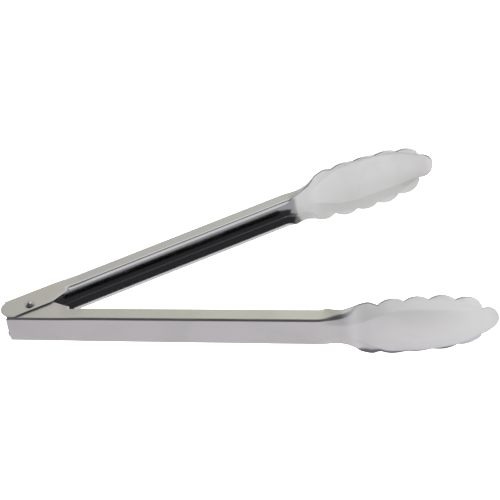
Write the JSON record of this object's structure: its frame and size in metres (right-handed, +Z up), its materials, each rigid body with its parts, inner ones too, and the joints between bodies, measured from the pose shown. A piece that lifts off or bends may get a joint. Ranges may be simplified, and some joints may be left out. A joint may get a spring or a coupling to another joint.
{
  "type": "spring loaded kitchen tongs",
  "caption": "Kitchen tongs with scalloped scoop heads: pressed steel channel arms on a rivet, held open by a torsion spring.",
  "frame": {"origin": "middle of the footprint, on the surface that the tongs lie on, on their side", "axes": "+X from the pivot to the scoops, halfway between the open arms; +Z up along the rivet; +Y towards the outer arm"},
  "size_m": [0.2988, 0.1738, 0.0441],
  "materials": {
    "arm_steel": "polished and satin stainless steel sheet",
    "rivet_steel": "bright stainless rivet with a smooth dome",
    "spring_steel": "drawn spring wire, slightly dull"
  },
  "bodies": {
    "outer": {"outer_arm": "arm_steel", "pivot_rivet": "rivet_steel", "torsion_spring": "spring_steel"},
    "inner": {"inner_arm": "arm_steel"}
  },
  "joints": [
    {"name": "pivot", "type": "hinge", "parent": "outer", "child": "inner", "pos_m": [-0.13076, 0, 0.02203], "axis": [0, 0, 1], "range_deg": [0, 32.7], "stiffness_Nm_per_rad": 0.45, "springref_deg": -20.05}
  ]
}
